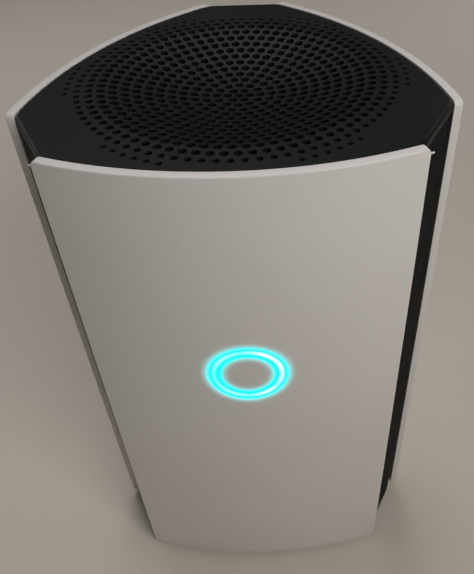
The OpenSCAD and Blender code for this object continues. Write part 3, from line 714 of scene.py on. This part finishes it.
HOLE_PITCH = 3.35 * MM
MAIN_HOLE_R = 1.3 * MM
OUTER_HOLE_R = {13: 1.15 * MM, 14: 0.95 * MM}
GROUP_HOLE_R = 0.8 * MM
HOLE_EDGE_R = 0.1 * MM
HOLE_SIDES = 18
SMALL_HOLE_SIDES = 14
GROUP_RING = 15
GROUP_HOLES = 6
DISH_R = 41 * MM
DISH_DEPTH = 6.4 * MM
DISH_POWER = 1.3
GRILLE_T = 2 * MM
RIM_T = 3 * MM
PLATE_GAP = 0.35 * MM
ARC_EDGE_R = 0.35 * MM
CORNER_BEVEL = 0.75 * MM
ON_CORNER = 0.05 * MM
SKIRT_T = 2.6 * MM
SKIRT_LAP = 0.1 * MM
SKIRT_EDGE_R = 0.02 * MM
SKIRT_BACK_R = 0.05 * MM


def on_grille(x, y, depth):
    """The place of a plan point of the dished plate, at a depth under its top face."""
    r = math.hypot(x, y)
    dish = DISH_DEPTH * (1 - (r / DISH_R) ** 2) ** DISH_POWER if r < DISH_R else 0.0
    return turned((x, y, rim_top - dish - depth), 0)


def grille_plan(arc_in, corner_in):
    """The plate's plan, set in at the arcs and at the corners, anticlockwise from the front."""
    r = top_arc_r - arc_in
    end = math.asin((CORNER_REACH - corner_in + top_arc_cy / 2) / r) - math.radians(30)
    count = round(2 * end * r / OUTLINE_STEP)
    points = []
    for side in range(SIDES):
        turn = Matrix.Rotation(side * SIDE_ANGLE, 2)
        for i in range(count + 1):
            b = -end + 2 * end * i / count
            p = turn @ Vector((r * math.sin(b), top_arc_cy - r * math.cos(b)))
            points.append((p.x, p.y))
    return points


def grille_holes():
    """Rings of six times n holes, and a group of small holes past each end of every arc."""
    holes = [circle_loop(0.0, 0.0, MAIN_HOLE_R, HOLE_SIDES)]
    for ring in range(1, GROUP_RING):
        r = OUTER_HOLE_R.get(ring, MAIN_HOLE_R)
        sides = SMALL_HOLE_SIDES if ring in OUTER_HOLE_R else HOLE_SIDES
        centres = circle_loop(0, 0, ring * HOLE_PITCH, 6 * ring)
        holes.extend(circle_loop(x, y, r, sides) for x, y in centres)
    step = 2 * math.pi / (6 * GROUP_RING)
    reach = GROUP_RING * HOLE_PITCH
    for side in range(2 * SIDES):
        for i in range(GROUP_HOLES):
            a = side * math.pi / 3 + (i - (GROUP_HOLES - 1) / 2) * step
            x, y = reach * math.cos(a), reach * math.sin(a)
            holes.append(circle_loop(x, y, GROUP_HOLE_R, SMALL_HOLE_SIDES))
    return holes


def grille_parts():
    """The perforated plate, with a bevel along its cut-off corners, and the skirt under its edge."""
    outline = divided(grille_plan(PLATE_GAP, CORNER_INSET), OUTLINE_STEP)
    corner_line = CORNER_REACH - CORNER_INSET - ON_CORNER
    at_corner = set()
    for i, (x, y) in enumerate(outline):
        if max(x * math.cos(a) + y * math.sin(a) for a in CORNER_ANGLES) > corner_line:
            at_corner.add(i)
    plate = plate_mesh(outline, grille_holes(), [], on_grille, GRILLE_T, ARC_EDGE_R, HOLE_EDGE_R,
                       bevels=(at_corner, CORNER_BEVEL))
    inside = grille_plan(PLATE_GAP + SKIRT_T, CORNER_INSET + SKIRT_T)
    skirt_top = rim_top - GRILLE_T + SKIRT_LAP
    skirt = plate_mesh(
        outline, [inside], [], lambda x, y, depth: turned((x, y, skirt_top - depth), 0),
        RIM_T - GRILLE_T + SKIRT_LAP, SKIRT_EDGE_R, SKIRT_EDGE_R, SKIRT_BACK_R)
    return [plate, skirt]


make_piece("top_grille_plate", grille_parts(), grille_black, "black_plastic", ["top_grille"])

# ---- Buttons and feet ----

def on_back(node_name):
    """The place function of a turned part on the port corner: its axis points out of the back."""
    low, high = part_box(node_name)
    cx, cz = (low.x + high.x) / 2, (low.z + high.z) / 2
    return lambda x, y, h: Vector((cx - x, high.y - h, cz + y))


def round_edge(radius, edge, steps=5):
    """The lathe points of a rounded edge at height 0, ending on the upright side."""
    turns = [math.pi / 2 * i / steps for i in range(steps + 1)]
    return [(radius - edge * (1 - math.sin(a)), edge * (1 - math.cos(a))) for a in turns]


BUTTON_R = 3.5 * MM
BUTTON_EDGE_R = 0.35 * MM
BUTTON_DISH_R = 2.6 * MM
BUTTON_DISH_DEPTH = BUTTON_DISH_R * 0.09
BUTTON_FLANGE_R = 4.3 * MM
BUTTON_FLANGE_T = 1.2 * MM
BUTTON_SIDES = 48


def button_piece(node_name, body):
    """A button cap with a rounded rim, a shallow finger dish and its flange."""
    low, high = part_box(node_name)
    length = high.y - low.y
    step_h = length - BUTTON_FLANGE_T
    soft = 0.1 * MM
    profile = [(0.0, BUTTON_DISH_DEPTH)]
    profile += [(BUTTON_DISH_R * t, BUTTON_DISH_DEPTH * (1 - t * t)) for t in (0.25, 0.5, 0.75, 1.0)]
    profile += round_edge(BUTTON_R, BUTTON_EDGE_R)
    profile += [(BUTTON_R, step_h), (BUTTON_FLANGE_R - soft, step_h), (BUTTON_FLANGE_R, step_h + soft)]
    profile += [(BUTTON_FLANGE_R, length), (0.0, length)]
    mesh = lathe_mesh(profile, BUTTON_SIDES, on_back(node_name))
    material = SLOT_MATERIALS["button_plastic"]
    make_piece(node_name + "_cap", [mesh], material, "button_plastic", [node_name], body)


button_piece("power_button", "power_cap")
button_piece("pair_button", "pair_cap")

FOOT_REACH = 44 * MM
FOOT_R = 7 * MM
FOOT_EDGE_R = 0.4 * MM
FOOT_SIDES = 64
GROOVE_DEPTH = 0.25 * MM
# Radii where the groove round a pad's middle starts, reaches its floor, leaves it and ends.
GROOVE_RADII = (2.6 * MM, 2.9 * MM, 3.4 * MM, 3.7 * MM)
foot_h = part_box("rubber_feet")[1].z


def foot_parts():
    """Three pads with a rounded lower edge and a shallow ring groove."""
    start, floor_in, floor_out, end = GROOVE_RADII
    profile = [(0.0, 0.0), (start, 0.0), (floor_in, GROOVE_DEPTH), (floor_out, GROOVE_DEPTH), (end, 0.0)]
    profile += round_edge(FOOT_R, FOOT_EDGE_R)
    profile += [(FOOT_R, foot_h), (0.0, foot_h)]
    parts = []
    for angle in CORNER_ANGLES:
        cx, cy = FOOT_REACH * math.cos(angle), FOOT_REACH * math.sin(angle)
        parts.append(lathe_mesh(
            profile, FOOT_SIDES, lambda x, y, h, cx=cx, cy=cy: turned((cx + x, cy - y, h), 0)))
    return parts


make_piece("foot_pads", foot_parts(), SLOT_MATERIALS["foot_rubber"], "foot_rubber", ["rubber_feet"])

# ---- CAD nodes with their hard edges rounded ----

SAME_PLACE = 0.001 * MM
SAME_PLANE = math.radians(0.5)
CAD_SHARP_ANGLE = math.radians(30)
CAD_EDGE_ANGLE = math.radians(40)
WELD_REACH = 0.004 * MM


def softened(node_name, radius):
    """A copy of a CAD node with rounded edges, which stands for the node."""
    soft = bmesh.new()
    soft.from_mesh(frame["nodes"][node_name].data)
    bmesh.ops.remove_doubles(soft, verts=soft.verts, dist=SAME_PLACE)
    bmesh.ops.dissolve_limit(soft, angle_limit=SAME_PLANE, verts=soft.verts, edges=soft.edges)
    mesh = bpy.data.meshes.new(node_name + "_shell")
    soft.to_mesh(mesh)
    soft.free()
    mesh.polygons.foreach_set("use_smooth", [True] * len(mesh.polygons))
    mesh.set_sharp_from_angle(angle=CAD_SHARP_ANGLE)
    slot = slot_of[node_name]
    piece = add_piece(node_name + "_shell", mesh, SLOT_MATERIALS[slot], slot, [node_name], "housing")
    bevel = piece.modifiers.new("edges", "BEVEL")
    bevel.width = radius
    bevel.segments = 3
    bevel.limit_method = "ANGLE"
    bevel.angle_limit = CAD_EDGE_ANGLE
    bevel.use_clamp_overlap = False
    bevel.harden_normals = True
    weld = piece.modifiers.new("joined", "WELD")
    weld.merge_threshold = WELD_REACH


SOFT_NODES = {
    "inner_housing": 0.25 * MM, "base_plate": 0.3 * MM, "port_panel": 0.2 * MM, "dc_jack": 0.12 * MM,
    "wan_jack": 0.08 * MM, "lan_jack_1": 0.08 * MM, "lan_jack_2": 0.08 * MM, "lan_jack_3": 0.08 * MM,
}
for node_name, radius in SOFT_NODES.items():
    softened(node_name, radius)

# ---- The other CAD nodes keep their shape and get their slot's material ----

for node_name, obj in frame["nodes"].items():
    for slot in obj.material_slots:
        slot.material = SLOT_MATERIALS[slot_of[node_name]]

# ---- Floor, light and camera ----

FLOOR_HALF = 3.0
FLOOR_TINTS = (0.66, 0.60, 0.52), (0.69, 0.63, 0.55)


def floor():
    """A plain pale sheet of paper for the object to stand on."""
    h = FLOOR_HALF
    mesh = bpy.data.meshes.new("floor")
    mesh.from_pydata([(-h, -h, 0), (h, -h, 0), (h, h, 0), (-h, h, 0)], [], [(0, 1, 2, 3)])
    obj = bpy.data.objects.new("floor", mesh)
    bpy.context.scene.collection.objects.link(obj)
    material, tree, shader = new_material("floor_paper")
    place = object_place(tree)
    tint = mixed(tree, noise(tree, place, 6.0), *FLOOR_TINTS)
    tree.links.new(tint, shader.inputs["Base Color"])
    gloss = spread(tree, noise(tree, place, 80.0), 0.3, 0.7, 0.65, 0.75)
    tree.links.new(gloss, shader.inputs["Roughness"])
    mesh.materials.append(material)


def area_light(name, place, target, size, power, colour):
    """A soft rectangular light at a place, turned towards a target."""
    data = bpy.data.lights.new(name, "AREA")
    data.shape = "RECTANGLE"
    data.size, data.size_y = size
    data.energy = power
    data.color = colour
    obj = bpy.data.objects.new(name, data)
    obj.location = place
    obj.rotation_mode = "QUATERNION"
    obj.rotation_quaternion = (Vector(target) - Vector(place)).to_track_quat("-Z", "Y")
    bpy.context.scene.collection.objects.link(obj)


floor()

# Each light's place, target, size, power and colour. The back light stands high, so that the
# camera doesn't see it mirrored in the grille's flat rim.
area_light("key_light", (0.20, -0.30, 0.43), (0.03, -0.06, 0.15), (0.2, 0.2), 0.92, (1.0, 0.99, 0.97))
area_light("back_light", (-0.2, 0.65, 1.25), (-0.1, 0.35, 0), (0.7, 0.5), 4.3, (1.0, 0.99, 1.0))
area_light("side_light", (-0.65, 0.30, 0.45), (0, 0, 0.12), (0.5, 0.5), 0.75, (1.0, 0.99, 0.98))
area_light("rear_light", (0.60, 0.75, 0.35), (0, 0, 0.12), (0.4, 0.4), 0.9, (1.0, 0.99, 0.98))

world = bpy.data.worlds.new("studio")
world.use_nodes = True
sky = world.node_tree.nodes["Background"]
sky.inputs["Color"].default_value = (0.85, 0.84, 0.82, 1.0)
sky.inputs["Strength"].default_value = 0.06
bpy.context.scene.world = world
bpy.context.scene.view_settings.view_transform = "Standard"

# The camera looks down at the front panel from close by.
CAMERA_DOWN = math.radians(39.227)
CAMERA_RIGHT = math.radians(0.605)
CAMERA_ROLL = math.radians(-1.471)
CAMERA_SIDE = 11.544 * MM
CAMERA_BACK = 171.924 * MM
CAMERA_RISE = 79.256 * MM


def camera():
    """The camera, turned about the upright, then tilted down, then rolled about its own axis."""
    data = bpy.data.cameras.new("camera")
    data.sensor_width = 36
    data.lens = 38.363
    data.shift_x = -0.08515
    data.shift_y = -0.09567
    data.clip_start = 0.005
    obj = bpy.data.objects.new("camera", data)
    heading = Matrix.Rotation(-CAMERA_RIGHT, 4, "Z")
    tilt = Matrix.Rotation(math.pi / 2 - CAMERA_DOWN, 4, "X")
    roll = Matrix.Rotation(CAMERA_ROLL, 4, "Z")
    place = Matrix.Translation((CAMERA_SIDE, axis_y - CAMERA_BACK, panel_high.z + CAMERA_RISE))
    obj.matrix_world = place @ heading @ tilt @ roll
    bpy.context.scene.collection.objects.link(obj)
    bpy.context.scene.camera = obj


camera()
